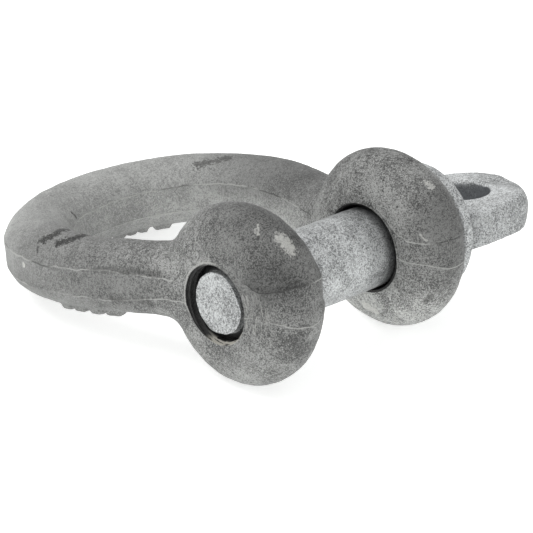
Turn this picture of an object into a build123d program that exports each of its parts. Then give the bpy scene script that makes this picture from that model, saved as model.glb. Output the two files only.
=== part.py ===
from build123d import *
import os
from math import radians, tan

# Screw-pin bow shackle, in millimetres. The origin is on the pin's axis, midway between the ears.
# +X runs along the pin from the threaded ear to the pin's head, +Y runs from the pin to the crown
# of the bow, and +Z is square to the plane of the bow.

os.makedirs("parts", exist_ok=True)

# Ears
GAP = 32.8  # clear width between the ears
EAR_THICKNESS = 19.8
EAR_DIAMETER = 46.9
EAR_OUTER_ROUND = 9.8  # rounding of the rim on the outer face
EAR_INNER_ROUND = 10.0  # rounding of the rim on the inner face
PLAIN_HOLE_RADIUS = 11.45
PLAIN_HOLE_ROUND = 0.8

# Centreline of the bow
WIDEST_AT = 55.2  # distance of the widest place from the pin's axis
HALF_WIDTH = 38.7  # at the widest place
CROWN_RISE = 32.7  # from the widest place to the middle of the crown
LEG_HANDLE = 20.2  # pull of each end of a leg's curve along +Y
FOOT_INSET = 0.8  # of a leg's foot from the middle of its ear, towards the gap

# Section of the bow
LEG_RADIUS = 8.9
CROWN_RADIUS = 9.85
FLARE_HEIGHT = 34.0  # below this height a leg grows deeper along Z to meet the round ear
FLARE_DEPTH = 6.0  # by which its half depth has grown at the pin's axis
LEG_STATIONS = 9
CROWN_STATIONS = 9
EAR_BLEND = 7.0  # fillet between a leg and its ear

# Raised plain bars on the underside of the bow, across the bar of the bow
BAR_ACROSS = 7.0
BAR_HEIGHT = 1.3
BAR_ROOT = 3.0  # depth to which a bar is sunk into the bow
LEG_BARS = ((0.72, 4.2), (0.815, 3.8), (0.905, 3.8), (1.0, 4.2))  # share of the -X leg, width
CROWN_BARS = ((0.63, 4.8), (0.75, 2.8), (0.815, 2.8), (0.883, 2.8))  # share of half the crown, width

# Right-hand screw thread with 60 degree flanks, as loose as a galvanised pin needs
PITCH = 2.822
CREST_WIDTH = 0.40
THREAD_ROOT = 9.25
THREAD_CREST = 10.65
RADIAL_CLEARANCE = 0.35
FLANK_CLEARANCE = 0.20
THREADED_HOLE_RADIUS = 9.95
THREADED_HOLE_CHAMFER = 0.5
THREAD_OVERRUN = 0.25  # of a ridge or groove past the cylinder that it stands on

# Pin
TIP_RADIUS = 8.0
TIP_LENGTH = 1.5  # of the plain end, before the cone that leads into the thread
TIP_RECESS = 0.3  # of the tip, inside the face of the threaded ear
SHANK_RADIUS = 10.75
SHOULDER = 1.5  # length of the cone between the thread's root and the shank
SHOULDER_OVERLAP = 0.4  # of the cone with the threaded ear
COLLAR_RADIUS = 17.6
COLLAR_THICKNESS = 3.7
COLLAR_ROUND = 1.4
SEAT_MARGIN = 0.9  # by which the flat seat on the plain ear is wider than the collar
SEAT_HEIGHT = 8.0  # of the room that the seat clears beside the leg
COLLAR_GAP = 0.15  # left between the collar and the plain ear
EYE_AT = 57.8  # centre of the eye's round end
EYE_RADIUS = 16.2
EYE_ROOT_HALF_WIDTH = 14.4
EYE_THICKNESS = 10.1
EYE_EDGE_ROUND = 4.1
EYE_EDGE_FROM = 6.0  # distance from the collar's seat at which the eye's rounded edges begin
EYE_TURN = 2.3  # degrees about the pin's axis, out of the plane of the bow
EYE_HOLE_AT = 55.1
EYE_HOLE_RADIUS = 7.25
EYE_HOLE_ROUND = 0.4

# Core of the pin: a rod of the pin's own metal, on its axis, that carries its axial travel
CORE_RADIUS = 3.0
CORE_HALF_LENGTH = 28.0
CORE_CLEARANCE = 0.05
CORE_END_CLEARANCE = 0.3

# Worked out from the above
EAR_CENTRE = (GAP + EAR_THICKNESS) / 2
EAR_FACE = GAP / 2 + EAR_THICKNESS
TIP_X = TIP_RECESS - EAR_FACE
CONE_X = TIP_X + TIP_LENGTH
THREAD_END_X = -GAP / 2 - SHOULDER_OVERLAP
COLLAR_X = EAR_FACE + COLLAR_GAP
FLANK_SLOPE = tan(radians(30))
EYE_PLANE = Plane.XY.rotated((EYE_TURN, 0, 0))
ALONG_X = (0, 90, 0)  # turns a thread made about Z onto the pin's axis


def thread_corners(base_radius, crest_radius, crest_width):
    """Corners of a ridge with 60 degree flanks, from base_radius out to its crest."""
    half_crest = crest_width / 2
    half_base = half_crest + (crest_radius - base_radius) * FLANK_SLOPE
    return [
        (base_radius, -half_base),
        (base_radius, half_base),
        (crest_radius, half_crest),
        (crest_radius, -half_crest),
    ]


def turn_starts(end_x):
    """Places of the turns of a thread, from beyond the tip to about end_x, the same for both threads."""
    first_x = TIP_X - 2 * PITCH
    count = round((end_x - first_x) / PITCH)
    return [(first_x + n * PITCH, 0, 0) for n in range(count)]


def section_plane(path, share, side):
    """Plane square to half of the centreline at a share of its length, mirrored for side -1."""
    point = path @ share
    along = path % share
    return Plane((side * point.X, point.Y, 0), x_dir=(0, 0, 1), z_dir=(along.X, side * along.Y, 0))


def section_radii(height):
    """Half depth (along Z) and half width of the bow at a distance from the pin's axis."""
    radius = LEG_RADIUS + (CROWN_RADIUS - LEG_RADIUS) * height / (WIDEST_AT + CROWN_RISE)
    below = max(0, FLARE_HEIGHT - height) / FLARE_HEIGHT
    return radius + FLARE_DEPTH * below**2, radius


# One turn of the ridge on the pin, about Z
with BuildPart() as ridge_turn:
    with BuildSketch(Plane.XZ):
        Polygon(*thread_corners(THREAD_ROOT - THREAD_OVERRUN, THREAD_CREST, CREST_WIDTH), align=None)
    sweep(path=Helix(PITCH, PITCH, THREAD_ROOT), is_frenet=True)

# One turn of the groove in the threaded ear, about Z
groove_base = THREADED_HOLE_RADIUS - THREAD_OVERRUN
groove_crest = THREAD_CREST + RADIAL_CLEARANCE
groove_crest_width = CREST_WIDTH + 2 * (FLANK_CLEARANCE - RADIAL_CLEARANCE * FLANK_SLOPE)
with BuildPart() as groove_turn:
    with BuildSketch(Plane.XZ):
        Polygon(*thread_corners(groove_base, groove_crest, groove_crest_width), align=None)
    sweep(path=Helix(PITCH, PITCH, THREAD_ROOT), is_frenet=True)

# Half of the bow's centreline, on +X: a leg from the pin's axis up, then half of the crown
foot = Vector(EAR_CENTRE - FOOT_INSET, 0)
widest = Vector(HALF_WIDTH, WIDEST_AT)
handle = Vector(0, LEG_HANDLE)
leg = Bezier(foot, foot + handle, widest - handle, widest)
crown = EllipticalCenterArc((0, WIDEST_AT), HALF_WIDTH, CROWN_RISE, arc_size=90)

# Bow: one forging, with its ears, the threaded hole, the plain hole and the raised bars
with BuildPart() as bow:
    half = [(leg, n / LEG_STATIONS) for n in range(LEG_STATIONS)]
    half += [(crown, n / CROWN_STATIONS) for n in range(CROWN_STATIONS)]
    stations = [(path, share, -1) for path, share in half]
    stations.append((crown, 1, 1))
    stations += [(path, share, 1) for path, share in reversed(half)]
    for path, share, side in stations:
        plane = section_plane(path, share, side)
        with BuildSketch(plane):
            Ellipse(*section_radii(plane.origin.Y))
    loft()

    for side in (-1, 1):
        inner = side * GAP / 2
        outer = side * EAR_FACE
        crest = inner + side * EAR_INNER_ROUND
        rim = -EAR_DIAMETER / 2
        with BuildSketch():
            with BuildLine():
                Line((inner, 0), (inner, rim + EAR_INNER_ROUND))
                TangentArc((inner, rim + EAR_INNER_ROUND), (crest, rim), tangent=(0, -1))
                TangentArc((crest, rim), (outer, rim + EAR_OUTER_ROUND), tangent=(side, 0))
                Line((outer, rim + EAR_OUTER_ROUND), (outer, 0))
                Line((outer, 0), (inner, 0))
            make_face()
        revolve(axis=Axis.X)

    near_ears = bow.edges().filter_by_position(Axis.Y, 0, EAR_DIAMETER / 2)
    fillet(near_ears.filter_by(GeomType.BSPLINE), EAR_BLEND)

    with BuildSketch(Plane.YZ.offset(EAR_FACE)):
        Circle(COLLAR_RADIUS + SEAT_MARGIN)
    extrude(amount=SEAT_HEIGHT, mode=Mode.SUBTRACT)

    bars = [(leg, share, width, -1) for share, width in LEG_BARS]
    bars += [(crown, share, width, 1) for share, width in CROWN_BARS]
    for path, share, width, side in bars:
        plane = section_plane(path, share, side)
        underside = section_radii(plane.origin.Y)[0]
        with BuildSketch(plane):
            with Locations((BAR_ROOT - underside, 0)):
                Rectangle(BAR_ROOT + BAR_HEIGHT, BAR_ACROSS, align=(Align.MAX, Align.CENTER))
        extrude(amount=width / 2, both=True)

    with BuildSketch(Plane.YZ):
        Circle(PLAIN_HOLE_RADIUS)
    extrude(amount=2 * EAR_FACE, mode=Mode.SUBTRACT)
    plain_hole = bow.faces().filter_by(GeomType.CYLINDER).sort_by_distance((EAR_CENTRE, 0, 0))[0]
    fillet(plain_hole.edges().filter_by(GeomType.LINE, reverse=True), PLAIN_HOLE_ROUND)
    with BuildSketch(Plane.YZ):
        Circle(THREADED_HOLE_RADIUS)
    extrude(amount=-2 * EAR_FACE, mode=Mode.SUBTRACT)
    threaded_hole = bow.faces().filter_by(GeomType.CYLINDER).sort_by_distance((-EAR_CENTRE, 0, 0))[0]
    chamfer(threaded_hole.edges().filter_by(GeomType.LINE, reverse=True), THREADED_HOLE_CHAMFER)

    for place in turn_starts(PITCH - GAP / 2):
        with Locations(place):
            add(groove_turn.part, rotation=ALONG_X, mode=Mode.SUBTRACT)

bow.part.label = "bow"
export_step(bow.part, "parts/bow.step")

# Pin: chamfered tip, thread, shank, collar and flat eye, in one piece
with BuildPart() as pin:
    with BuildSketch() as turned:
        with BuildLine():
            Polyline(
                (TIP_X, 0),
                (TIP_X, TIP_RADIUS),
                (CONE_X, TIP_RADIUS),
                (CONE_X + THREAD_ROOT - TIP_RADIUS, THREAD_ROOT),
                (THREAD_END_X, THREAD_ROOT),
                (THREAD_END_X + SHOULDER, SHANK_RADIUS),
                (COLLAR_X, SHANK_RADIUS),
                (COLLAR_X, COLLAR_RADIUS),
                (COLLAR_X + COLLAR_THICKNESS, COLLAR_RADIUS),
                (COLLAR_X + COLLAR_THICKNESS, 0),
                close=True,
            )
        make_face()
        fillet(turned.vertices().group_by(Axis.Y)[-1], COLLAR_ROUND)
    revolve(axis=Axis.X)

    with BuildSketch(EYE_PLANE):
        with BuildLine():
            Polyline(
                (COLLAR_X + COLLAR_ROUND, -EYE_ROOT_HALF_WIDTH),
                (EYE_AT, -EYE_RADIUS),
                (EYE_AT, EYE_RADIUS),
                (COLLAR_X + COLLAR_ROUND, EYE_ROOT_HALF_WIDTH),
                close=True,
            )
        make_face()
        with Locations((EYE_AT, 0)):
            Circle(EYE_RADIUS)
    extrude(amount=EYE_THICKNESS / 2, both=True)
    flats = pin.faces().filter_by(Axis((0, 0, 0), EYE_PLANE.z_dir))
    fillet(flats.edges().filter_by(lambda edge: edge.center().X > COLLAR_X + EYE_EDGE_FROM), EYE_EDGE_ROUND)
    with BuildSketch(EYE_PLANE):
        with Locations((EYE_HOLE_AT, 0)):
            Circle(EYE_HOLE_RADIUS)
    extrude(amount=EYE_THICKNESS, both=True, mode=Mode.SUBTRACT)
    eye_hole = pin.faces().filter_by(GeomType.CYLINDER).sort_by_distance((EYE_HOLE_AT, 0, 0))[0]
    fillet(eye_hole.edges().filter_by(GeomType.CIRCLE), EYE_HOLE_ROUND)

    for place in turn_starts(THREAD_END_X):
        with Locations(place):
            add(ridge_turn.part, rotation=ALONG_X)

    with BuildSketch():
        with BuildLine():
            Polyline(
                (TIP_X, 0),
                (TIP_X, TIP_RADIUS),
                (CONE_X, TIP_RADIUS),
                (CONE_X + SHANK_RADIUS - TIP_RADIUS, SHANK_RADIUS),
                (CONE_X + SHANK_RADIUS - TIP_RADIUS, 2 * SHANK_RADIUS),
                (2 * TIP_X, 2 * SHANK_RADIUS),
                (2 * TIP_X, 0),
                close=True,
            )
        make_face()
    revolve(axis=Axis.X, mode=Mode.SUBTRACT)

    core_room = CORE_HALF_LENGTH + CORE_END_CLEARANCE
    with BuildSketch(Plane.YZ):
        Circle(CORE_RADIUS + CORE_CLEARANCE)
    extrude(amount=core_room, both=True, mode=Mode.SUBTRACT)

pin.part.label = "pin"
export_step(pin.part, "parts/pin.step")

# Core of the pin
with BuildPart() as pin_core:
    with BuildSketch(Plane.YZ):
        Circle(CORE_RADIUS)
    extrude(amount=CORE_HALF_LENGTH, both=True)

pin_core.part.label = "pin_core"
export_step(pin_core.part, "parts/pin_core.step")
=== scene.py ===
import math

import bpy
import numpy as np
import openvdb
from mathutils import Matrix, Vector


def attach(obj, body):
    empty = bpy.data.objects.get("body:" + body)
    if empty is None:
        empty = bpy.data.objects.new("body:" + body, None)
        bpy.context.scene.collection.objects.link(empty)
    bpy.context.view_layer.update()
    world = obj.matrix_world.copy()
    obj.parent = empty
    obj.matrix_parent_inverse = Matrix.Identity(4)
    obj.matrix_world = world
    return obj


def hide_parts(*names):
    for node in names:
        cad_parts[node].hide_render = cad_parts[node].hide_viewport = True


# Screw-pin bow shackle in hot-dip galvanised steel. Shapes are worked out in millimetres in the
# row frame (+X along the pin to its eye, +Y to the crown, +Z square to the bow) and are then
# written to the meshes in metres. The near ear is the threaded one at -X.

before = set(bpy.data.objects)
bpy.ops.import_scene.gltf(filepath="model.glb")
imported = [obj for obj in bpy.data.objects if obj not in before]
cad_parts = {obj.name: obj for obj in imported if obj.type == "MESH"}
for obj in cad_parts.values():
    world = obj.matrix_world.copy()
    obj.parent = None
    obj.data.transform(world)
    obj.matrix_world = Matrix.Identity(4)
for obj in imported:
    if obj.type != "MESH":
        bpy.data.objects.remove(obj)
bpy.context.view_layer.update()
MM = 0.001

# What the sculpted pieces share with the solids
EAR_FACE = 36.2  # outer face of each ear, from the middle of the gap
HALF_GAP = 16.4  # inner face of each ear
PITCH = 2.822
THREAD_ROOT = 9.25
THREAD_CREST = 10.65
SHANK_RADIUS = 10.75
TIP_X = -35.9
TIP_RADIUS = 8.0
TIP_LENGTH = 1.5
THREAD_END_X = -16.8
SHOULDER = 1.5
HOLE_RADIUS = 9.95  # threaded hole, between its grooves
GROOVE_RADIUS = 11.0
PLAIN_HOLE_RADIUS = 11.45
CREST_WIDTH = 0.4
COLLAR_X = 36.35
EYE_TURN = math.radians(2.3)  # of the pin's eye about X, at rest
EYE_HOLE_AT = 55.1
EYE_HOLE_RADIUS = 7.25
EYE_HALF_THICKNESS = 5.05
LEG_FOOT = np.array([25.5, 0.0])  # centreline of the bow, in plan
LEG_HANDLE = np.array([0.0, 20.2])
WIDEST = np.array([38.7, 55.2])
CROWN_RISE = 32.7

# How finely the pieces are made
BOW_VOXEL = 0.5
PIN_VOXEL = 0.4
HOLE_STEP = 0.2
THREAD_STEP = 0.16
COLUMNS = 160
ANGLES = np.arange(COLUMNS) * 2 * math.pi / COLUMNS  # about X, from +Y towards +Z
BAND = 6  # half width of a distance field, in voxels
MARGIN = 4  # empty voxels round a piece
SHARP_ANGLE = math.radians(38)  # edges sharper than this are not smoothed


# ------------------------------------------------------------------ noise

def noise(points, cell, seed):
    """Smooth random values from -1 to 1 at points (n, 3); cell is the size of one lump, in mm."""
    lattice = np.random.default_rng(seed).uniform(-1, 1, (32, 32, 32))
    turned = points @ np.array([[0.80, 0.36, -0.48], [-0.60, 0.48, -0.64], [0.0, 0.80, 0.60]])
    q = turned / cell + 100.0
    base = np.floor(q).astype(np.int64)
    t = q - base
    t = t * t * (3 - 2 * t)
    total = np.zeros(len(points))
    for corner, weight in cell_corners(t):
        i, j, k = ((base + corner) % 32).T
        total += weight * lattice[i, j, k]
    return total


def cell_corners(t):
    """Each corner of a grid cell, and its share at places t (n, 3) in the cell."""
    for corner in np.ndindex(2, 2, 2):
        weight = np.ones(len(t))
        for axis in range(3):
            weight *= t[:, axis] if corner[axis] else 1 - t[:, axis]
        yield np.array(corner), weight


def lumps(points, layers):
    """Noise of several sizes added up: each layer is its height and its cell in mm, and a seed."""
    return sum(height * noise(points, cell, seed) for height, cell, seed in layers)


def smooth_step(low, high, value):
    """0 at low, 1 at high and past it, and smooth between them."""
    t = np.clip((value - low) / (high - low), 0, 1)
    return t * t * (3 - 2 * t)


def smooth_max(a, b, width):
    """The larger of two fields, rounded over a width in mm where they meet."""
    h = np.clip(0.5 + 0.5 * (a - b) / width, 0, 1)
    return b + (a - b) * h + width * h * (1 - h)


# ------------------------------------------------------------------ distance fields

def node_field(name, voxel):
    """Distance to the surface of a CAD node on a regular grid, in mm, and the grid's first corner."""
    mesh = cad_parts[name].data
    points = np.empty(len(mesh.vertices) * 3, np.float32)
    mesh.vertices.foreach_get("co", points)
    points = points.reshape(-1, 3) / MM
    mesh.calc_loop_triangles()
    triangles = np.empty(len(mesh.loop_triangles) * 3, np.int32)
    mesh.loop_triangles.foreach_get("vertices", triangles)
    transform = openvdb.createLinearTransform(voxelSize=voxel)
    grid = openvdb.FloatGrid.createLevelSetFromPolygons(
        points, triangles=triangles.reshape(-1, 3), transform=transform, halfWidth=BAND
    )
    first = np.floor(points.min(0) / voxel).astype(int) - MARGIN
    last = np.ceil(points.max(0) / voxel).astype(int) + MARGIN
    field = np.empty(last - first + 1, np.float32)
    grid.copyToArray(field, ijk=tuple(int(v) for v in first))
    return field, first


def axes_of(field, first, voxel):
    """The three coordinate arrays of a grid, in mm, shaped so that they broadcast."""
    x, y, z = [(np.arange(n) + f) * voxel for n, f in zip(field.shape, first)]
    return x[:, None, None], y[None, :, None], z[None, None, :]


def surface_of(field, first, voxel):
    """Points and quads of the surface where a field is zero."""
    grid = openvdb.FloatGrid(BAND * voxel)
    grid.copyFromArray(np.ascontiguousarray(field, np.float32), ijk=tuple(int(v) for v in first))
    grid.transform = openvdb.createLinearTransform(voxelSize=voxel)
    points, quads = grid.convertToQuads(isovalue=0.0)
    return np.array(points, float), np.array(quads, np.int64)


def sample(field, first, voxel, points):
    """Values of a grid at points, by linear interpolation."""
    q = points / voxel - first
    base = np.clip(np.floor(q).astype(np.int64), 0, np.array(field.shape) - 2)
    total = np.zeros(len(points))
    for corner, weight in cell_corners(q - base):
        i, j, k = (base + corner).T
        total += weight * field[i, j, k]
    return total


def blurred(field):
    """A field smoothed along each axis with the weights 1, 2, 1."""
    for axis in range(3):
        padded = np.pad(field, [(1, 1) if a == axis else (0, 0) for a in range(3)], mode="edge")
        before, middle, after = [
            np.take(padded, range(n, padded.shape[axis] - 2 + n), axis) for n in range(3)
        ]
        field = (before + 2 * middle + after) / 4
    return field


# ------------------------------------------------------------------ meshes

def make_mesh(name, points, faces):
    """A mesh object from an array of points in mm and a list of faces."""
    mesh = bpy.data.meshes.new(name)
    mesh.from_pydata((points * MM).tolist(), [], faces)
    mesh.update()
    obj = bpy.data.objects.new(name, mesh)
    bpy.context.scene.collection.objects.link(obj)
    return obj


def vertex_normals(points, quads):
    """Outward unit normals at points, weighted by the area of the quads around them."""
    a, b, c, d = (points[quads[:, n]] for n in range(4))
    face = np.cross(c - a, d - b)
    total = np.zeros_like(points)
    for n in range(4):
        np.add.at(total, quads[:, n], face)
    return total / np.maximum(np.linalg.norm(total, axis=1, keepdims=True), 1e-9)


def on_circle(radii):
    """The y and z of points at radii and at ANGLES about X."""
    return radii * np.cos(ANGLES), radii * np.sin(ANGLES)


def turned_solid(name, xs, radii):
    """A closed solid about X in mm: radii is (places along X, COLUMNS); both ends are capped."""
    rows = len(xs)
    points = np.stack(np.broadcast_arrays(xs[:, None], *on_circle(radii)), -1).reshape(-1, 3)
    row = np.arange(rows - 1)[:, None] * COLUMNS
    column = np.arange(COLUMNS)[None, :]
    after = (column + 1) % COLUMNS
    quads = np.stack([row + column, row + after, row + COLUMNS + after, row + COLUMNS + column], -1)
    faces = quads.reshape(-1, 4).tolist()
    faces.append(list(range(COLUMNS - 1, -1, -1)))
    faces.append(list(range((rows - 1) * COLUMNS, rows * COLUMNS)))
    return make_mesh(name, points, faces)


def apply_boolean(obj, other, operation):
    """obj becomes its union with other, or what is left of it outside other, which is then removed."""
    modifier = obj.modifiers.new("cut", "BOOLEAN")
    modifier.operation = operation
    modifier.solver = "EXACT"
    modifier.object = other
    depsgraph = bpy.context.evaluated_depsgraph_get()
    result = bpy.data.meshes.new_from_object(obj.evaluated_get(depsgraph), depsgraph=depsgraph)
    obj.modifiers.clear()
    old = obj.data
    obj.data = result
    bpy.data.meshes.remove(old)
    other_mesh = other.data
    bpy.data.objects.remove(other)
    bpy.data.meshes.remove(other_mesh)


def shade_smooth(obj):
    """Gives obj smooth faces, with its sharp edges kept."""
    obj.data.polygons.foreach_set("use_smooth", [True] * len(obj.data.polygons))
    obj.data.set_sharp_from_angle(angle=SHARP_ANGLE)


def thread_radius(x, root, crest):
    """Radius of a right-hand thread about X, at x and at ANGLES."""
    turn = (x - TIP_X) / PITCH - ANGLES / (2 * math.pi) - 0.25
    off = np.abs(turn - np.round(turn)) * PITCH
    slope = math.tan(math.radians(30))
    return np.clip(crest - np.maximum(off - CREST_WIDTH / 2, 0) / slope, root, crest)


# ------------------------------------------------------------------ bow

PARTING = 1.4  # height of the parting plane above the pin's axis
FACE_CROWN = 1.0  # by which an ear's face stands out at the parting plane
DRAFT = 0.095  # slope of the faces away from that plane
LOW_DRAFT = 0.10  # added to it below the plane, down to a depth
LOW_DRAFT_DEPTH = 5.0
LOW_EASE = 0.04  # taken from it all the way down
FAR_TOP_DRAFT = 0.045  # slope of the far ear's inner face above the plane
NEAR_TOP_DROP = 0.4  # of the near ear's top, towards the gap

TRIM = 0.52  # by which the forging's flash was trimmed inside its outline
TRIM_WANDER = ((0.10, 9.0, 3), (0.05, 3.0, 4))  # height and cell of each layer, and its seed
NEAR_END_TRIM = 0.40  # trimmed besides at the end of the near ear, away from the bow
FAR_EAR_TRIM = 0.18  # by which the far ear was trimmed less
LOW_LIP = 0.62  # left standing below the parting plane at the end of the near ear
LEAST_SLOPE = 0.08  # of the faces beside the trimmed band, where its edge is measured

ZINC = 0.13  # by which the zinc stands over the smoothed distance field
ZINC_LUMPS = ((0.16, 13.0, 5), (0.08, 6.0, 6), (0.065, 2.6, 7), (0.05, 1.4, 8))
ZINC_LIMITS = (-0.4, 0.3)
BURR = 0.10
BURR_WIDTH = 0.5
SWELLINGS = (  # centre, size and height of soft swellings and, below 0, dents
    ((-36.0, -16.0, 11.0), (9.0, 6.5, 6.5), -0.9),
    ((36.0, -12.0, 20.0), (7.0, 7.0, 7.0), -0.3),
    ((21.0, 6.0, 21.0), (9.0, 13.0, 9.0), 1.15),
    ((-37.0, 46.0, 8.0), (8.0, 8.0, 5.0), -0.45),
    ((31.0, -22.0, 0.0), (10.0, 9.0, 18.0), -0.75),
    ((-22.0, -24.0, -8.0), (8.0, 8.0, 12.0), -0.35),
)
NEAR_LEG_RISE = 0.5
NEAR_LEG_FLAT = 0.12  # by which the underside is flattened
FAR_LEG_FLAT = 0.30
FAR_CROWN_FLAT = 0.30  # besides, where the far bars stand

LEG_BARS = ((0.70, 4.4), (0.79, 3.8), (0.88, 3.6), (0.955, 3.4))  # share of the near leg, width
LEG_BAR_HEIGHT = 1.4
CROWN_BARS = ((0.64, 4.8), (0.75, 2.8), (0.815, 2.8), (0.883, 2.8))  # share of the far half, width
CROWN_BAR_HEIGHT = 1.22

PLUG_RADIUS = 13.4  # wider than both holes and their mouths
MOUTH_X = -36.0  # outside this the thread is worn away
MOUTH_RADIUS = 10.35
MOUTH_SHIFT = 0.5  # of the worn mouth, off the hole's centre
MOUTH_SIDE = math.radians(-35)  # from +Y towards +Z
CHAMFER_X = -16.0  # where the chamfer of the threaded hole starts, on the gap's side
CHAMFER_RADIUS = 12.5
PLAIN_MOUTH_X = 15.6  # of the plain hole, on the gap's side
PLAIN_MOUTH_ROUND = 0.9


def forging_field():
    """Distance field of the forging without its holes, the distance of each place from the edge of
    the trimmed band (below 0 on the band), and the grid's first corner."""
    field, first = node_field("bow", BOW_VOXEL)
    x, y, z = axes_of(field, first, BOW_VOXEL)
    near, far = x < 0, x > 0

    # the underside takes the form of the top, which has no raised bars
    field = np.maximum(field, field[:, :, ::-1])

    # both holes are filled, so that the forging is whole until they are cut
    ear_middle, ear_half = (EAR_FACE + HALF_GAP) / 2, (EAR_FACE - HALF_GAP) / 2
    plug = np.maximum(np.sqrt(y**2 + z**2) - PLUG_RADIUS, np.abs(np.abs(x) - ear_middle) - ear_half)
    field = blurred(np.minimum(field, plug))

    # drafted ear faces, and the flat seat of the collar
    slope_x = np.gradient(field, BOW_VOXEL, axis=0)
    near_pin = 1 - smooth_step(15.0, 30.0, y)
    draft = np.where(far & (slope_x < 0) & (z > PARTING), FAR_TOP_DRAFT, DRAFT)
    below = np.clip(PARTING - z, 0, None)
    fall = draft * np.abs(z - PARTING) + LOW_DRAFT * np.minimum(below, LOW_DRAFT_DEPTH)
    stand_out = FACE_CROWN - fall + LOW_EASE * below
    stand_out = np.where(far & (slope_x > 0), np.minimum(stand_out, 0.0), stand_out)
    field = field - stand_out * slope_x**2 * near_pin * (np.abs(x) > HALF_GAP / 2)

    # the near ear's top is a little lower towards the gap
    top_inside = smooth_step(12.0, 24.0, z) * smooth_step(-30.0, -18.0, x) * near * near_pin
    field = field + NEAR_TOP_DROP * top_inside

    # the flash is trimmed all round, which leaves a band in the plane of the bow
    outline = field[:, :, int(round(PARTING / BOW_VOXEL - first[2]))][:, :, None]
    plan = np.stack(np.broadcast_arrays(x[:, :, 0], y[:, :, 0], np.zeros(1)), -1).reshape(-1, 3)
    trim = TRIM + lumps(plan, TRIM_WANDER).reshape(outline.shape)
    trim = trim + NEAR_END_TRIM * smooth_step(-12.0, -21.0, y) * near
    trim = trim - FAR_EAR_TRIM * near_pin * far
    trim = trim - LOW_LIP * smooth_step(0.4, -2.0, z) * smooth_step(-8.0, -15.0, y) * near
    trimmed = outline + trim
    slope_z = np.abs(np.gradient(field, BOW_VOXEL, axis=2))
    from_edge = (field - trimmed) / np.maximum(slope_z, LEAST_SLOPE)
    return np.maximum(field, trimmed), from_edge.astype(np.float32), first


def leg_line(t):
    """Centreline of a leg, from the pin's axis to the widest place, as a Bezier curve."""
    knots = [LEG_FOOT, LEG_FOOT + LEG_HANDLE, WIDEST - LEG_HANDLE, WIDEST]
    weights = [(1 - t) ** 3, 3 * t * (1 - t) ** 2, 3 * t**2 * (1 - t), t**3]
    return sum(w * k for w, k in zip(weights, knots))


def crown_line(t):
    """Centreline of half of the crown, from the widest place to the middle."""
    turn = t * math.pi / 2
    return np.array([WIDEST[0] * math.cos(turn), WIDEST[1] + CROWN_RISE * math.sin(turn)])


def parameter_at(path, share):
    """Parameter of a curve at a share of its length."""
    steps = np.linspace(0, 1, 201)
    places = np.array([path(t) for t in steps])
    run = np.concatenate([[0], np.cumsum(np.linalg.norm(np.diff(places, axis=0), axis=1))])
    return np.interp(share * run[-1], run, steps)


def raised_bars(points, path, bars, side):
    """1 on soft bars across the bow and 0 between them; side is 1, or -1 for the half at -X."""
    total = np.zeros(len(points))
    for share, width in bars:
        t = parameter_at(path, share)
        here, ahead = path(t), path(t + 0.001)
        along = (ahead - here) / np.linalg.norm(ahead - here) * np.array([side, 1])
        off = points[:, :2] - here * np.array([side, 1])
        from_middle = np.abs(off @ along)
        from_centreline = np.abs(off @ np.array([along[1], -along[0]]))
        bar = 1 - smooth_step(width / 2 - 0.6, width / 2 + 0.35, from_middle)
        total = np.maximum(total, bar * (1 - smooth_step(2.8, 4.0, from_centreline)))
    return total


def swelling(points, centre, size, height):
    """Height of a soft swelling at points: its centre and size are in mm."""
    off = (points - np.array(centre)) / np.array(size)
    return height * np.exp(-(off**2).sum(1))


def sculpt_bow():
    """The bow with its zinc, burr, dents and raised bars, before its holes are cut."""
    field, from_edge, first = forging_field()
    points, quads = surface_of(field, first, BOW_VOXEL)
    edge = sample(from_edge, first, BOW_VOXEL, points)
    normals = vertex_normals(points, quads)

    broken = smooth_step(-0.35, 0.25, noise(points, 5.0, 9))
    burr = BURR * np.exp(-((edge / BURR_WIDTH) ** 2)) * broken
    zinc_on = np.clip(lumps(points, ZINC_LUMPS) + burr, *ZINC_LIMITS) + ZINC
    zinc_on += sum(swelling(points, *row) for row in SWELLINGS)
    points = points + normals * zinc_on[:, None]

    # the near leg stands a little higher, and its underside only beside the ear
    x, y, z = points.T
    near_leg = smooth_step(8.0, 20.0, y) * (1 - smooth_step(32.0, 46.0, y)) * (x < 0)
    upper = np.maximum(smooth_step(-5.0, 4.0, z), 1 - smooth_step(24.0, 36.0, y))
    points[:, 2] += NEAR_LEG_RISE * near_leg * upper

    # the underside is flattened a little
    underside = smooth_step(0.1, 0.8, -normals[:, 2])
    flat = smooth_step(12.0, 24.0, y) * np.where(x < -20, NEAR_LEG_FLAT, FAR_LEG_FLAT)
    flat += FAR_CROWN_FLAT * smooth_step(55.0, 66.0, y) * (x > 0)
    points[:, 2] += underside * flat
    faces_down = normals[:, 2] < 0
    points[:, 2] -= LEG_BAR_HEIGHT * raised_bars(points, leg_line, LEG_BARS, -1) * faces_down
    points[:, 2] -= CROWN_BAR_HEIGHT * raised_bars(points, crown_line, CROWN_BARS, 1) * faces_down

    obj = make_mesh("bow_sculpted", points, quads.tolist())
    attribute = obj.data.attributes.new("trim_edge", "FLOAT", "POINT")
    attribute.data.foreach_set("value", edge.astype(np.float32))
    return obj


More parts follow.
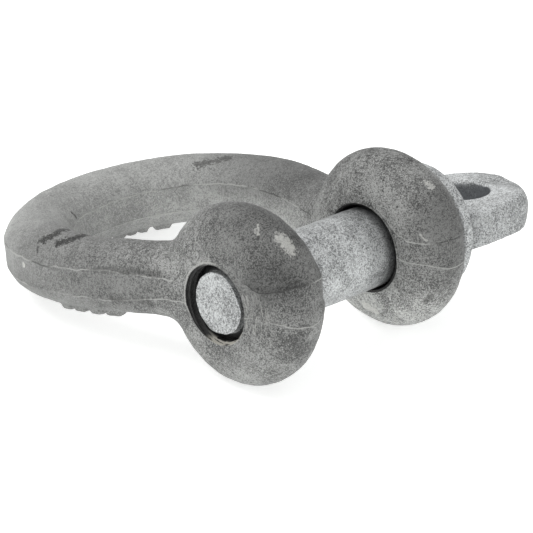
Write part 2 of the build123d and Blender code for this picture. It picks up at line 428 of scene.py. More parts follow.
def cut_threaded_hole(obj):
    """Cuts the thread, its worn mouth and the chamfer on the gap's side."""
    xs = np.arange(-39.0, -12.0, HOLE_STEP)
    radii = thread_radius(xs[:, None], HOLE_RADIUS, GROOVE_RADIUS)
    mouth = MOUTH_RADIUS + MOUTH_SHIFT * np.cos(ANGLES - MOUTH_SIDE)
    radii = np.where((xs < MOUTH_X)[:, None], mouth, radii)
    chamfer = np.minimum(HOLE_RADIUS + np.maximum(xs - CHAMFER_X, 0), CHAMFER_RADIUS)
    radii = np.maximum(radii, chamfer[:, None])
    apply_boolean(obj, turned_solid("cutter", xs, radii), "DIFFERENCE")


def cut_plain_hole(obj):
    """Cuts the plain hole, with a rounded mouth at both ends."""
    xs = np.arange(12.0, 40.0, 0.25)
    depth = np.clip(np.minimum(xs - PLAIN_MOUTH_X, EAR_FACE - xs), 0, PLAIN_MOUTH_ROUND)
    left = PLAIN_MOUTH_ROUND - depth
    mouth = PLAIN_MOUTH_ROUND - np.sqrt(np.maximum(PLAIN_MOUTH_ROUND**2 - left**2, 0))
    radii = np.broadcast_to((PLAIN_HOLE_RADIUS + mouth)[:, None], (len(xs), COLUMNS))
    apply_boolean(obj, turned_solid("cutter", xs, radii), "DIFFERENCE")


# ------------------------------------------------------------------ pin

CORE_PLUG_RADIUS = 3.6  # fills the bore of the core
CORE_PLUG_HALF = 30.0
BULGE = 0.6  # of the eye's rounded sides, past the solid's
NEAR_BULGE = 0.35  # besides, on the side towards -Y
SIDE_ROUND = 1.2  # over which the sides round off in plan
EYE_GROWTH = 0.25  # of the eye's half thickness, past the solid's
EYE_SHRINK = 0.1  # of the eye's outline, inside the solid's
EYE_TAPER = 0.6  # by which each flat falls towards the end of the eye
OUTLINE_TAPER = 0.21  # by which the outline draws in towards the end
EYE_RISE = 0.7  # of the whole eye towards its end
EYE_LUMPS = ((0.10, 9.0, 15), (0.05, 4.0, 16), (0.03, 1.6, 17))  # height, cell and seed
EYE_LIMITS = (-0.3, 0.15)
SHAFT_LUMPS = ((0.05, 7.0, 25), (0.03, 2.4, 26))
SHAFT_LIMITS = (-0.1, 0.06)
SHAFT_SHRINK = 0.03
TIP_LUMPS = ((0.25, 2.2, 27),)
TIP_BITE = 0.55  # out of the rim of the tip, on one side
TIP_BITE_SIDE = math.radians(150)
TIP_BITE_WIDTH = 0.45  # in radians


def sculpt_collar_and_eye():
    """The collar and the eye, cut off square behind the collar's seat."""
    field, first = node_field("pin", PIN_VOXEL)
    x, y, z = axes_of(field, first, PIN_VOXEL)
    plug = np.maximum(np.sqrt(y**2 + z**2) - CORE_PLUG_RADIUS, np.abs(x) - CORE_PLUG_HALF)
    field = blurred(np.minimum(field, plug))

    # the eye's flats are crisp planes that meet bulging sides
    to_end = smooth_step(44.0, 66.0, x)
    centre = EYE_RISE * smooth_step(40.0, 68.0, x)
    height = np.abs(z * math.cos(EYE_TURN) - y * math.sin(EYE_TURN) - centre)
    flats = height - EYE_HALF_THICKNESS - EYE_GROWTH + EYE_TAPER * to_end
    outline = field[:, :, int(round(-first[2]))][:, :, None] + EYE_SHRINK + OUTLINE_TAPER * to_end
    bulge = BULGE + NEAR_BULGE * smooth_step(4.0, -8.0, y)
    sides = smooth_max(field - bulge, outline, SIDE_ROUND)
    end_round = 0.2 + 5.0 * smooth_step(61.0, 68.0, x) * smooth_step(7.0, -3.0, y)
    eye = np.maximum(sides, smooth_max(outline, flats, end_round))
    across = y * math.cos(EYE_TURN) + z * math.sin(EYE_TURN)
    eye = np.maximum(eye, EYE_HOLE_RADIUS - np.sqrt((x - EYE_HOLE_AT) ** 2 + across**2))
    on_eye = smooth_step(COLLAR_X + 5.0, COLLAR_X + 7.0, x)
    field = np.maximum(field * (1 - on_eye) + eye * on_eye, COLLAR_X - x)

    # the shaft is turned by itself, so the grid is cut off a little before the collar
    keep = int((COLLAR_X - 3) / PIN_VOXEL) - first[0]
    points, quads = surface_of(field[keep:], first + np.array([keep, 0, 0]), PIN_VOXEL)
    lump = np.clip(lumps(points, EYE_LUMPS), *EYE_LIMITS)
    off_seat = smooth_step(0.2, 1.2, points[:, 0] - COLLAR_X)
    points = points + vertex_normals(points, quads) * (lump * off_seat)[:, None]
    return make_mesh("pin_sculpted", points, quads.tolist())


def sculpt_shaft():
    """The tip, thread, shoulder and shank, up to the inside of the collar."""
    shank_start = THREAD_END_X + SHOULDER
    fine = np.arange(TIP_X, shank_start + 0.5, THREAD_STEP)
    coarse = np.arange(shank_start + 0.6, COLLAR_X + 2.0, 0.55)
    xs = np.concatenate([fine, coarse])

    rim = np.stack([np.zeros(COLUMNS), *on_circle(TIP_RADIUS)], -1)
    bite = np.exp(-(((ANGLES - TIP_BITE_SIDE) / TIP_BITE_WIDTH) ** 2))
    ragged = lumps(rim, TIP_LUMPS) - TIP_BITE * bite
    cone = (TIP_RADIUS + np.maximum(xs - TIP_X - TIP_LENGTH, 0))[:, None]
    cone = cone + ragged * (xs < TIP_X + 2 * TIP_LENGTH)[:, None]

    thread = thread_radius(xs[:, None], THREAD_ROOT, THREAD_CREST)
    up_shoulder = np.clip((xs - THREAD_END_X) / SHOULDER, 0, 1)
    shoulder = THREAD_ROOT + up_shoulder * (SHANK_RADIUS - THREAD_ROOT)
    radii = np.where((xs < THREAD_END_X)[:, None], thread, shoulder[:, None])
    radii = np.minimum(radii, cone)

    # lumps of zinc, which are lower on the thread
    surface = np.stack(np.broadcast_arrays(xs[:, None], *on_circle(radii)), -1).reshape(-1, 3)
    lump = np.clip(lumps(surface, SHAFT_LUMPS), *SHAFT_LIMITS).reshape(radii.shape)
    share = 0.25 + 0.75 * smooth_step(shank_start, shank_start + 3, xs)
    return turned_solid("shaft", xs, radii + lump * share[:, None] - SHAFT_SHRINK)


# ------------------------------------------------------------------ materials

class Nodes:
    """Short ways to add shader nodes to one material."""

    def __init__(self, name):
        self.material = bpy.data.materials.new(name)
        self.material.use_nodes = True
        self.tree = self.material.node_tree
        self.tree.nodes.clear()
        output = self.tree.nodes.new("ShaderNodeOutputMaterial")
        self.surface = self.tree.nodes.new("ShaderNodeBsdfPrincipled")
        self.tree.links.new(self.surface.outputs[0], output.inputs["Surface"])
        self.place = self.tree.nodes.new("ShaderNodeTexCoord").outputs["Object"]

    def put(self, socket, value):
        """Links a socket to value if that is a socket too, and sets it to value if not."""
        if isinstance(value, bpy.types.NodeSocket):
            self.tree.links.new(value, socket)
        else:
            socket.default_value = value

    def set_surface(self, values):
        """Sets inputs of the surface, by their names."""
        for name, value in values.items():
            self.put(self.surface.inputs[name], value)

    def calculation(self, kind, operation, values):
        """A node of one kind that does an operation on values."""
        node = self.tree.nodes.new(kind)
        node.operation = operation
        for socket, value in zip(node.inputs, values):
            self.put(socket, value)
        return node

    def maths(self, operation, *values):
        """Result of an operation on numbers."""
        return self.calculation("ShaderNodeMath", operation, values).outputs[0]

    def vector(self, operation, *values):
        """Result of an operation on vectors, which is a number for a length or a dot product."""
        node = self.calculation("ShaderNodeVectorMath", operation, values)
        return node.outputs["Value" if operation in ("LENGTH", "DOT_PRODUCT") else "Vector"]

    def weighted(self, *parts):
        """Sum of values, each times its weight."""
        total = 0.0
        for value, weight in parts:
            total = self.maths("MULTIPLY_ADD", value, weight, total)
        return total

    def length(self, a, b):
        """Length of a vector with the two parts a and b."""
        return self.maths("SQRT", self.maths("MULTIPLY_ADD", a, a, self.maths("MULTIPLY", b, b)))

    def noise(self, size, detail=2.0, roughness=0.5, vector=None):
        """Noise whose lumps are about size mm across, about 0 to 1."""
        node = self.tree.nodes.new("ShaderNodeTexNoise")
        self.put(node.inputs["Vector"], vector or self.place)
        node.inputs["Scale"].default_value = 0.5 / (size * MM)
        node.inputs["Detail"].default_value = detail
        node.inputs["Roughness"].default_value = roughness
        return node.outputs["Fac"]

    def voronoi(self, size):
        """Distance from the nearest of random dots about size mm apart, as a share of size."""
        node = self.tree.nodes.new("ShaderNodeTexVoronoi")
        self.put(node.inputs["Vector"], self.place)
        node.inputs["Scale"].default_value = 1.0 / (size * MM)
        return node.outputs["Distance"]

    def ramp(self, value, low, high, to_low=0.0, to_high=1.0):
        """to_low where value is at low, to_high where it is at high, and smooth between them."""
        node = self.tree.nodes.new("ShaderNodeMapRange")
        node.interpolation_type = "SMOOTHSTEP"
        for socket, v in zip(node.inputs, (value, low, high, to_low, to_high)):
            self.put(socket, v)
        return node.outputs[0]

    def both(self, *shares):
        """Product of shares."""
        total = shares[0]
        for share in shares[1:]:
            total = self.maths("MULTIPLY", total, share)
        return total

    def zone(self, *limits):
        """1 where each value is past its second limit, and 0 where one is before its first."""
        return self.both(*[self.ramp(*row) for row in limits])

    def near(self, value, middle, gone, full):
        """1 where value is within full of middle, and 0 where it is more than gone away."""
        off = self.maths("ABSOLUTE", self.maths("SUBTRACT", value, middle))
        return self.ramp(off, gone, full)

    def mix(self, share, a, b):
        """Colour a where share is 0 and colour b where it is 1."""
        node = self.tree.nodes.new("ShaderNodeMix")
        node.data_type = "RGBA"
        self.put(node.inputs["Factor"], share)
        self.put(node.inputs[6], a)
        self.put(node.inputs[7], b)
        return node.outputs[2]

    def attribute(self, name):
        """Value of an attribute of the mesh."""
        node = self.tree.nodes.new("ShaderNodeAttribute")
        node.attribute_name = name
        return node.outputs["Fac"]

    def axes(self):
        """x, y, z and the distance from the pin's axis, all in mm."""
        split = self.tree.nodes.new("ShaderNodeSeparateXYZ")
        self.put(split.inputs[0], self.place)
        x, y, z = [self.maths("DIVIDE", socket, MM) for socket in split.outputs]
        return x, y, z, self.length(y, z)

    def ragged(self, distance, raggedness, grain, soft):
        """1 where distance is below 1 and 0 above, with an uneven edge."""
        shift = self.maths("SUBTRACT", self.noise(grain, 3.0, 0.6), 0.5)
        distance = self.maths("MULTIPLY_ADD", shift, raggedness * 4, distance)
        return self.ramp(distance, 1.0 + soft, 1.0 - soft)

    def patch(self, centre, size):
        """1 inside a soft ellipsoid, 0 outside: centre and half sizes in mm."""
        node = self.tree.nodes.new("ShaderNodeMapping")
        node.vector_type = "TEXTURE"
        self.put(node.inputs["Vector"], self.place)
        node.inputs["Location"].default_value = [v * MM for v in centre]
        node.inputs["Scale"].default_value = [v * MM for v in size]
        return self.ragged(self.vector("LENGTH", node.outputs[0]), 0.12, 4.0, 0.7)

    def streak(self, places, half_width, raggedness):
        """1 near a line through places, 0 away from it, all in mm."""
        nearest = None
        for start, end in zip(places, places[1:] or places):
            start, end = Vector(start) * MM, Vector(end) * MM
            run = end - start
            off = self.vector("SUBTRACT", self.place, tuple(start))
            if run.length > 0:
                clamp = self.tree.nodes.new("ShaderNodeClamp")
                share = self.vector("DOT_PRODUCT", off, tuple(run / run.length_squared))
                self.put(clamp.inputs["Value"], share)
                off = self.vector("SUBTRACT", off, self.times(tuple(run), clamp.outputs[0]))
            distance = self.maths("DIVIDE", self.vector("LENGTH", off), half_width * MM)
            nearest = distance if nearest is None else self.maths("MINIMUM", nearest, distance)
        return self.ragged(nearest, raggedness, 0.45, 0.3)

    def times(self, colour, factor):
        """A colour or a vector multiplied by factor."""
        node = self.tree.nodes.new("ShaderNodeVectorMath")
        node.operation = "SCALE"
        self.put(node.inputs[0], colour)
        self.put(node.inputs["Scale"], factor)
        return node.outputs[0]

    def shade(self, colour, share, factor):
        """A colour multiplied by factor where share is 1."""
        return self.times(colour, self.ramp(share, 0.0, 1.0, 1.0, factor))

    def stain(self, colour, share, value, amount, warm=0.0):
        """A colour mixed by amount with a plain grey where share is 1."""
        return self.mix(self.maths("MULTIPLY", share, amount), colour, grey(value, warm))

    def bump(self, height, distance, strength):
        """Normals bent by a height from 0 to 1, which stands for distance in mm."""
        node = self.tree.nodes.new("ShaderNodeBump")
        node.inputs["Strength"].default_value = strength
        node.inputs["Distance"].default_value = distance * MM
        self.put(node.inputs["Height"], height)
        return node.outputs[0]

    def give_to(self, obj):
        """Makes this the only material of obj."""
        obj.data.materials.clear()
        obj.data.materials.append(self.material)


def grey(value, warm=0.0):
    """A linear colour of one brightness; warm above 0 leans to yellow and below 0 to blue."""
    return (value * (0.985 + 0.5 * warm), value, value * (0.985 - warm), 1.0)


def zinc(name, dark, light, warm, rough):
    """Weathered hot-dip zinc, mottled and grainy with pits and pale flecks: its nodes, its colour
    and its height for a bump."""
    n = Nodes(name)
    mottle = n.noise(9.0, 4.0, 0.6)
    patchy = n.noise(2.4, 4.0, 0.65)
    speck = n.noise(0.40, 1.0, 0.5)
    grain = n.noise(0.17, 1.0, 0.6)
    tone = n.weighted((mottle, 1.1), (patchy, 0.9), (speck, 0.9), (grain, 2.1))
    colour = n.mix(n.ramp(tone, 1.95, 3.05), grey(dark, warm), grey(light, warm))
    crowd = n.noise(5.0)
    pits = n.zone((n.voronoi(0.6), 0.30, 0.12), (crowd, 0.50, 0.62))
    colour = n.stain(colour, pits, dark * 0.3, 0.7, warm)
    flecks = n.zone((n.voronoi(0.5), 0.28, 0.10), (crowd, 0.50, 0.38))
    colour = n.stain(colour, flecks, min(light * 2.0, 0.8), 0.6, warm)
    roughness = n.ramp(n.maths("ADD", grain, patchy), 0.7, 1.3, rough - 0.08, rough + 0.12)
    n.set_surface({"Metallic": 0.2, "Roughness": roughness})
    height = n.weighted((grain, 0.8), (speck, 0.7), (patchy, 0.8), (pits, -0.6))
    return n, colour, height


def marked(n, colour, marks, warm, speckle):
    """A colour with marks on it, which speckle breaks up where it is below 1."""
    for places, half_width, raggedness, value, amount in marks:
        mark = n.both(n.streak(places, half_width, raggedness), speckle)
        colour = n.stain(colour, mark, value, amount, warm)
    return colour


# ------------------------------------------------------------------ zinc of the bow

# Several patches are painted light and shade: the undersides of the far ear, far leg and crown are
# brighter as if lit from below; the near leg's side, the far ear's side towards -Y and the dent on the
# near ear are darker as if shaded
BOW_TONES_AND_SHADE = (  # broad differences of tone and painted light and shade: centre, half sizes, and the factor in the middle
    ((0.0, 98.0, 10.0), (60.0, 40.0, 14.0), 1.85),
    ((34.0, 48.0, 12.0), (16.0, 26.0, 10.0), 0.72),
    ((24.0, 66.0, -8.0), (24.0, 24.0, 8.0), 1.30),
    ((-28.0, -12.0, 14.0), (15.0, 16.0, 15.0), 0.60),
    ((-33.3, -17.0, 8.0), (6.5, 6.5, 5.5), 0.62),
    ((-27.0, 0.0, 23.0), (11.0, 15.0, 8.0), 0.82),
    ((-31.0, -10.0, -3.0), (14.0, 18.0, 12.0), 0.85),
    ((-42.0, 30.0, 0.0), (6.0, 26.0, 7.0), 0.68),
    ((28.0, -20.0, 6.0), (12.0, 9.0, 14.0), 0.54),
    ((20.0, 0.0, -18.0), (14.0, 24.0, 10.0), 1.60),
    ((26.0, 34.0, -5.0), (12.0, 36.0, 8.0), 1.45),
)
BOW_MARKS = (  # places along each mark and its half width in mm, raggedness, grey and amount
    # dross on the bend of the near leg and on the crown
    (((-43.5, 56.8, 8.3), (-41.4, 55.2, 9.1), (-36.8, 56.1, 9.3)), 1.2, 1.1, 0.03, 0.9),
    (
        ((-42.7, 51.2, 8.3), (-40.5, 49.2, 8.9), (-37.2, 48.8, 9.1), (-34.2, 49.6, 8.8)),
        1.3, 1.0, 0.02, 0.95,
    ),
    (((-33.6, 59.6, 8.6), (-36.0, 54.7, 9.3)), 0.3, 0.8, 0.06, 0.6),
    (((-19.1, 74.6, 5.9), (-18.2, 74.2, 4.6)), 0.4, 0.8, 0.04, 0.8),
    (((-45.5, 57.2, 6.8), (-46.3, 56.3, 5.9)), 0.35, 0.5, 0.04, 0.8),
    (((26.0, 72.7, 8.3), (29.5, 70.3, 9.3), (33.0, 67.7, 9.3)), 1.2, 1.5, 0.06, 0.75),
    # grime along the near leg
    (((-44.1, 36.3, 4.4), (-41.1, 28.2, 4.85), (-38.2, 18.2, 4.6)), 0.8, 1.2, 0.05, 0.5),
    (((-42.8, 31.9, -3.4), (-39.5, 21.5, -2.8)), 1.1, 1.5, 0.06, 0.45),
    # knocks on the near ear
    (((-27.7, -15.4, 17.5), (-27.2, -16.5, 16.4), (-27.0, -17.8, 15.0)), 1.55, 0.8, 0.50, 0.85),
    (((-29.8, -9.9, 20.5), (-31.3, -11.3, 18.7)), 0.3, 0.8, 0.42, 0.8),
    (((-30.9, -10.0, 19.8), (-31.5, -10.5, 19.1)), 0.3, 0.8, 0.42, 0.7),
    (((-31.6, -11.6, 18.3), (-31.9, -11.8, 17.9)), 0.35, 0.5, 0.04, 0.8),
    (((-36.1, 1.6, 13.0), (-36.4, 1.5, 11.2)), 0.16, 0.3, 0.42, 0.6),
    # pits and flecks on the far ear
    (((20.9, 4.0, 22.5), (20.0, 3.8, 21.9)), 0.4, 0.8, 0.03, 0.8),
    (((21.6, 1.2, 23.0), (20.1, 0.4, 22.2)), 0.5, 0.8, 0.03, 0.8),
    (((27.1, -8.2, 22.1),), 0.5, 0.8, 0.03, 0.8),
    (((25.1, -15.0, 18.0), (26.0, -16.5, 16.7)), 0.8, 1.8, 0.60, 0.7),
    (((16.9, -12.1, 13.1),), 0.35, 0.4, 0.03, 0.8),
    (((29.9, -20.8, 9.7), (29.5, -21.5, 8.6)), 0.4, 0.8, 0.04, 0.8),
    (((27.5, -21.9, 8.7), (27.7, -22.3, 7.6)), 0.4, 0.8, 0.04, 0.8),
    (((17.4, -15.9, 10.1),), 0.3, 0.5, 0.04, 0.7),
    (((23.8, -22.9, 2.3), (23.6, -22.8, -0.6)), 0.2, 0.2, 0.04, 0.85),
    (((18.0, -18.6, 6.4), (18.7, -19.9, 4.9)), 0.3, 1.0, 0.50, 0.7),
    (((23.1, -22.5, 5.4), (24.3, -23.0, 3.8)), 0.3, 1.0, 0.45, 0.6),
    (((20.3, -17.4, -12.6), (20.6, -18.8, -11.1)), 0.8, 0.8, 0.05, 0.65),
    (((17.3, 1.4, -16.7), (17.5, -1.9, -17.4)), 1.1, 0.8, 0.60, 0.85),
    # a fleck at the outer end of the bow
    (((-47.1, 61.6, 1.5),), 0.7, 0.5, 0.60, 0.8),
)


def with_trim_lines(n, colour, x, y, z):
    """A colour with a crease of painted shade and thin pale lines or lines of painted shadow on the
    trimmed band, and the lines.
    """
    edge = n.attribute("trim_edge")
    wander = n.maths("SUBTRACT", n.noise(1.8, 3.0), 0.5)
    line = n.near(n.maths("MULTIPLY_ADD", wander, 1.1, edge), 0.0, 0.30, 0.06)
    # painted shade in the crease just above the band, at the end of the near ear
    beside_line = n.zone((edge, 2.6, 0.2), (edge, -0.25, 0.0))
    near_end = n.zone((z, 1.0, 3.0), (x, -20.0, -30.0), (y, -8.0, -12.0))
    colour = n.shade(colour, n.both(beside_line, near_end), 0.70)

    # the lines are pale in fewer places above the pin's axis, above all on the far ear, and in
    # more places below it at the ends of the ears
    above = n.ramp(z, 0.0, 1.5)
    on_far_ear = n.zone((x, -5.0, 5.0), (y, 14.0, 6.0))
    low_end = n.zone((y, -5.0, -10.0), (z, 0.5, -0.5))
    fewer_above = n.ramp(on_far_ear, 0.0, 1.0, 0.04, 0.14)
    start = n.maths("MULTIPLY_ADD", above, fewer_above, 0.38)
    start = n.maths("MULTIPLY_ADD", low_end, -0.14, start)
    pale = n.ramp(n.maths("SUBTRACT", n.noise(6.5), start), 0.0, 0.10)
    colour = n.stain(colour, n.both(line, pale), 0.46, 0.62, 0.02)
    # above the pin's axis, the lines that are not pale are painted shadow
    dark = n.maths("SUBTRACT", 1.0, pale)
    return n.stain(colour, n.both(line, dark, above), 0.03, 0.6, 0.03), line


def with_scratches(n, colour, x, y, z, radius):
    """A colour with arcs of fine scratches beside the threaded hole, the scratches, and where
    they are."""
    arcs = n.tree.nodes.new("ShaderNodeCombineXYZ")
    n.put(arcs.inputs[0], n.maths("MULTIPLY", radius, MM))
    n.put(arcs.inputs[1], n.maths("MULTIPLY", n.maths("ARCTAN2", z, y), 1.5 * MM))
    scratch = n.noise(0.28, 2.0, 0.6, arcs.outputs[0])
    beside = n.zone((x, -34.6, -36.0), (y, -9.5, -10.5), (z, 6.5, 4.5), (z, -6.0, -4.0))
    colour = n.stain(colour, n.both(beside, n.ramp(scratch, 0.52, 0.66)), 0.36, 0.55, 0.04)
    colour = n.stain(colour, n.both(beside, n.ramp(scratch, 0.50, 0.36)), 0.05, 0.55, 0.02)
    return colour, scratch, beside


def with_dark_thread(n, colour, x, y, z, radius, scratch):
    """A colour with the worn rim, partly a painted highlight, and painted shade inside the threaded
    hole, with painted highlights on low ridges.
    """
    off_y = n.maths("SUBTRACT", y, MOUTH_SHIFT * math.cos(MOUTH_SIDE))
    off_z = n.maths("SUBTRACT", z, MOUTH_SHIFT * math.sin(MOUTH_SIDE))
    from_mouth = n.length(off_y, off_z)
    rim = n.near(from_mouth, MOUTH_RADIUS + 0.5, 0.35, 0.10)
    # the worn rim is painted pale only on its lit upper side, as a highlight
    lit = n.zone((x, -35.6, -36.2), (y, -3.0, 1.0), (z, -6.0, -2.0))
    colour = n.stain(colour, n.both(rim, lit), 0.45, 0.55, 0.03)

    # painted shade inside the hole, lighter higher up, with painted highlights on the low thread ridges
    in_mouth = n.ramp(from_mouth, MOUTH_RADIUS + 0.22, MOUTH_RADIUS + 0.05)
    in_thread = n.zone((radius, GROOVE_RADIUS + 0.5, GROOVE_RADIUS + 0.3), (x, -36.1, -35.9))
    inside = n.both(n.maths("MAXIMUM", in_mouth, in_thread), n.ramp(x, -15.8, -16.4))
    shaded_wall = n.mix(n.zone((z, 3.0, 8.0), (y, 6.0, 2.0)), grey(0.010), grey(0.12))
    ridges = n.zone((z, -5.0, -7.0), (y, 6.0, 3.0), (scratch, 0.40, 0.50), (x, -34.0, -35.5))
    shaded_wall = n.mix(ridges, shaded_wall, grey(0.42, 0.10))
    return n.mix(n.maths("MULTIPLY", inside, 0.95), colour, shaded_wall)


def with_dark_plain_hole(n, colour, x, y, z, radius):
    """A colour with painted shade inside the plain hole and a thin ring of painted shadow round its
    mouth.
    """
    inside = n.zone((radius, 12.25, 11.95), (x, 15.0, 15.8))
    # painted shade inside the hole, near black within its mouth
    colour = n.stain(colour, inside, 0.05, 0.85)
    colour = n.stain(colour, n.both(inside, n.ramp(x, 21.0, 18.5)), 0.008, 0.97)
    # a thin ring of painted shadow round the mouth, where it is seen
    ring = n.near(radius, 12.85, 0.20, 0.06)
    seen = n.zone((x, 14.2, 15.0), (x, 19.0, 17.5), (y, 2.0, -3.0), (z, -4.0, 2.0))
    return n.stain(colour, n.both(ring, seen), 0.05, 0.6)


def bow_zinc():
    """Dull, stained zinc, paler towards the crown, with painted light and shade in broad patches, in
    both holes and along the trimmed band.
    """
    n, colour, height = zinc("galvanised_bow", 0.06, 0.39, 0.01, 0.58)
    x, y, z, radius = n.axes()

    # the grain is evener towards the crown
    colour = n.stain(colour, n.ramp(y, 15.0, 70.0), 0.19, 0.58, 0.01)
    # broad tone of the zinc, with painted light and shade in some of the patches
    for centre, size, factor in BOW_TONES_AND_SHADE:
        colour = n.shade(colour, n.patch(centre, size), factor)
    colour, line = with_trim_lines(n, colour, x, y, z)
    colour, scratch, beside = with_scratches(n, colour, x, y, z, radius)
    colour = with_dark_thread(n, colour, x, y, z, radius, scratch)
    colour = with_dark_plain_hole(n, colour, x, y, z, radius)
    speckle = n.ramp(n.noise(0.2, 1.0, 0.6), 0.35, 0.60, 0.70, 1.1)
    colour = marked(n, colour, BOW_MARKS, 0.03, speckle)

    height = n.weighted((height, 1.0), (line, 0.5), (n.both(beside, scratch), 1.0))
    n.set_surface({"Base Color": colour, "Normal": n.bump(height, 0.25, 0.9)})
    return n


# ------------------------------------------------------------------ zinc of the pin, and the core

PIN_MARKS = (  # as BOW_MARKS
    (((64.4, 1.6, 5.4), (64.8, -1.6, 5.2)), 0.35, 0.8, 0.10, 0.6),
)


def pin_zinc():
    """Brighter, colder zinc, with painted shade in the thread, in the eye, under the middle and by the
    far ear, and painted light on the eye's sides.
    """
    n, colour, height = zinc("galvanised_pin", 0.14, 0.70, -0.02, 0.5)
    x, y, z, radius = n.axes()

    # painted shade under the middle, on the shank towards and inside the far ear, and where the eye
    # leaves the collar
    for factor, limits in (
        (0.90, ((n.maths("ABSOLUTE", x), 17.0, 16.0), (z, 0.0, -7.0))),
        (0.62, ((x, 2.0, 14.0), (x, 37.0, 36.0))),
        (0.25, ((x, 11.5, 16.3), (x, 21.0, 18.0))),
        (0.78, ((x, 38.5, 40.5), (x, 48.0, 42.0))),
    ):
        colour = n.shade(colour, n.zone(*limits), factor)

    # painted shade on the thread inside the near ear, lighter on the upper side of its start
    colour = n.stain(colour, n.zone((radius, 8.0, 8.35), (x, -17.0, -17.5)), 0.015, 0.93)
    lead_in = n.zone((radius, 8.1, 8.3), (x, -33.6, -34.2), (z, -1.0, 4.0))
    colour = n.stain(colour, lead_in, 0.14, 0.75)

    # painted shade on the eye's sides with a painted highlight on their upper edge, a darker tip end,
    # and painted shade inside the eye's hole
    across = n.weighted((y, math.cos(EYE_TURN)), (z, math.sin(EYE_TURN)))
    up_eye = n.weighted((y, -math.sin(EYE_TURN)), (z, math.cos(EYE_TURN)))
    from_middle = n.maths("ABSOLUTE", up_eye)
    colour = n.shade(colour, n.zone((from_middle, 5.25, 4.9), (x, 41.0, 42.0)), 0.86)
    colour = n.shade(colour, n.zone((up_eye, 3.8, 4.8), (x, 41.0, 42.5)), 1.18)
    colour = n.shade(colour, n.zone((x, -34.2, -35.2), (radius, 9.0, 8.0)), 0.86)
    from_hole = n.length(n.maths("SUBTRACT", x, EYE_HOLE_AT), across)
    in_hole = n.zone(
        (from_hole, EYE_HOLE_RADIUS + 0.5, EYE_HOLE_RADIUS + 0.3), (from_middle, 5.3, 5.1)
    )
    colour = n.stain(colour, in_hole, 0.11, 0.88, -0.1)
    colour = marked(n, colour, PIN_MARKS, -0.02, 1.0)

    n.set_surface({"Base Color": colour, "Normal": n.bump(height, 0.20, 0.8)})
    return n


def core_steel():
    """Plain drawn steel for the pin's core, which is never seen."""
    n = Nodes("plain_steel_core")
    lines = n.tree.nodes.new("ShaderNodeMapping")
    n.put(lines.inputs["Vector"], n.place)
    lines.inputs["Scale"].default_value = (1.0, 12.0, 12.0)
    drawn = n.noise(2.0, 4.0, 0.6, lines.outputs[0])
    n.set_surface({
        "Base Color": n.mix(drawn, grey(0.28), grey(0.42)),
        "Metallic": 0.9,
        "Roughness": n.ramp(drawn, 0.3, 0.7, 0.3, 0.5),
        "Normal": n.bump(drawn, 0.05, 0.4),
    })
    return n


# ------------------------------------------------------------------ floor, light and camera

FLOOR_SIDE = 3.0  # half the side of the floor; lengths in this section are in metres
FLOOR_GAP = 0.0001  # keeps the floor just clear of the bow
FLOOR_GLOW = 0.60
WORLD_LIGHT = 0.60
LIGHTS = (  # name, place, diameter and power in watts
    ("key", (-0.35, 0.25, 0.9), 0.8, 5.0),
    ("fill", (-0.5, -0.9, 0.3), 0.9, 1.5),
)
LIGHT_TARGET = Vector((0, 0.03, 0))
AZIMUTH, ELEVATION, ROLL = (math.radians(v) for v in (-43.156, 18.524, -4.166))
DISTANCE = 0.65169
TARGET = Vector((-0.008853, 0.010489, 0.0))
FOCAL_LENGTH, SENSOR_WIDTH = 171.97, 36.0  # in mm


def floor_under(bow):
    """A floor on which the bow lies: it touches the foot of an ear and a place further along."""
    places = np.empty(len(bow.data.vertices) * 3, np.float32)
    bow.data.vertices.foreach_get("co", places)
    places = places.reshape(-1, 3)
    ears = places[np.abs(places[:, 1]) < 0.008]
    foot = ears[ears[:, 2].argmin()]
    rest = places[places[:, 1] > 0.03]
    tilt = math.atan(((rest[:, 2] - foot[2]) / (rest[:, 1] - foot[1])).min())
    upwards = (0, -math.sin(tilt), math.cos(tilt))
    lowest = (places @ np.array(upwards)).min()

    mesh = bpy.data.meshes.new("floor")
    corners = [(FLOOR_SIDE * x, FLOOR_SIDE * y, 0) for x, y in ((-1, -1), (1, -1), (1, 1), (-1, 1))]
    mesh.from_pydata(corners, [], [(0, 1, 2, 3)])
    obj = bpy.data.objects.new("floor", mesh)
    bpy.context.scene.collection.objects.link(obj)
    obj.rotation_euler = (tilt, 0, 0)
    obj.location = Vector(upwards) * (lowest - FLOOR_GAP)
    return obj


def pale_floor():
    """Pale, faintly uneven and glowing, so that shadows on it stay very faint."""
    n = Nodes("pale_floor")
    n.set_surface({
        "Base Color": n.mix(n.noise(3.0, 3.0, 0.6), grey(0.86), grey(0.90)),
        "Roughness": 0.9,
        "Emission Color": (1, 1, 1, 1),
        "Emission Strength": FLOOR_GLOW,
    })
    return n


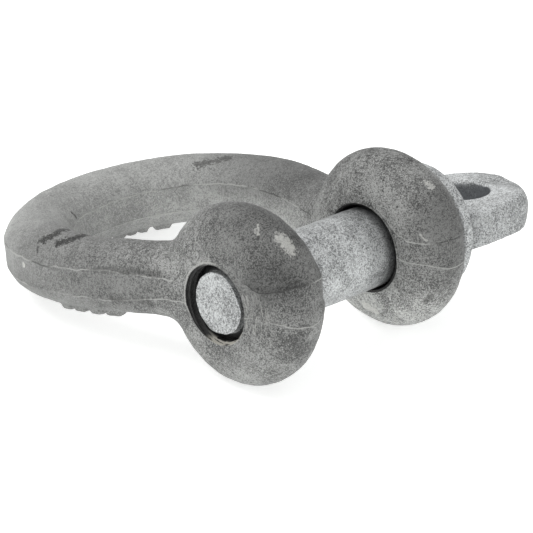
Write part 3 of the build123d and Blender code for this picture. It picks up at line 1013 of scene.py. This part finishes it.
def light_world(scene):
    """Even white light from all sides."""
    scene.world = bpy.data.worlds.new("studio")
    scene.world.use_nodes = True
    background = scene.world.node_tree.nodes["Background"]
    background.inputs[0].default_value = (1, 1, 1, 1)
    background.inputs[1].default_value = WORLD_LIGHT


def area_light(scene, name, place, diameter, power):
    """A round light at place, turned to LIGHT_TARGET."""
    data = bpy.data.lights.new(name, "AREA")
    data.shape = "DISK"
    data.size = diameter
    data.energy = power
    obj = bpy.data.objects.new(name, data)
    scene.collection.objects.link(obj)
    obj.location = place
    obj.rotation_euler = (LIGHT_TARGET - Vector(place)).to_track_quat("-Z", "Y").to_euler()


def place_camera(scene):
    """The camera of the photograph, as fitted to its outline."""
    back = Vector((
        math.sin(AZIMUTH) * math.cos(ELEVATION),
        -math.cos(AZIMUTH) * math.cos(ELEVATION),
        math.sin(ELEVATION),
    ))
    right = Vector((math.cos(AZIMUTH), math.sin(AZIMUTH), 0))
    right = right * math.cos(ROLL) + back.cross(right) * math.sin(ROLL)
    data = bpy.data.cameras.new("camera")
    data.lens = FOCAL_LENGTH
    data.sensor_width = SENSOR_WIDTH
    camera = bpy.data.objects.new("camera", data)
    scene.collection.objects.link(camera)
    turn = Matrix((right, back.cross(right), back)).transposed().to_4x4()
    camera.matrix_world = Matrix.Translation(TARGET + back * DISTANCE) @ turn
    scene.camera = camera


# ------------------------------------------------------------------ the scene

bow = sculpt_bow()
cut_threaded_hole(bow)
cut_plain_hole(bow)
pin = sculpt_collar_and_eye()
apply_boolean(pin, sculpt_shaft(), "UNION")
shade_smooth(bow)
shade_smooth(pin)

bow_zinc().give_to(bow)
pin_zinc().give_to(pin)
core_steel().give_to(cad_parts["pin_core"])

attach(bow, "bow")
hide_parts("bow")
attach(pin, "pin")
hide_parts("pin")

floor = floor_under(bow)
pale_floor().give_to(floor)

scene = bpy.context.scene
scene.view_settings.view_transform = "Standard"
scene.view_settings.look = "None"
light_world(scene)
for light in LIGHTS:
    area_light(scene, *light)
place_camera(scene)
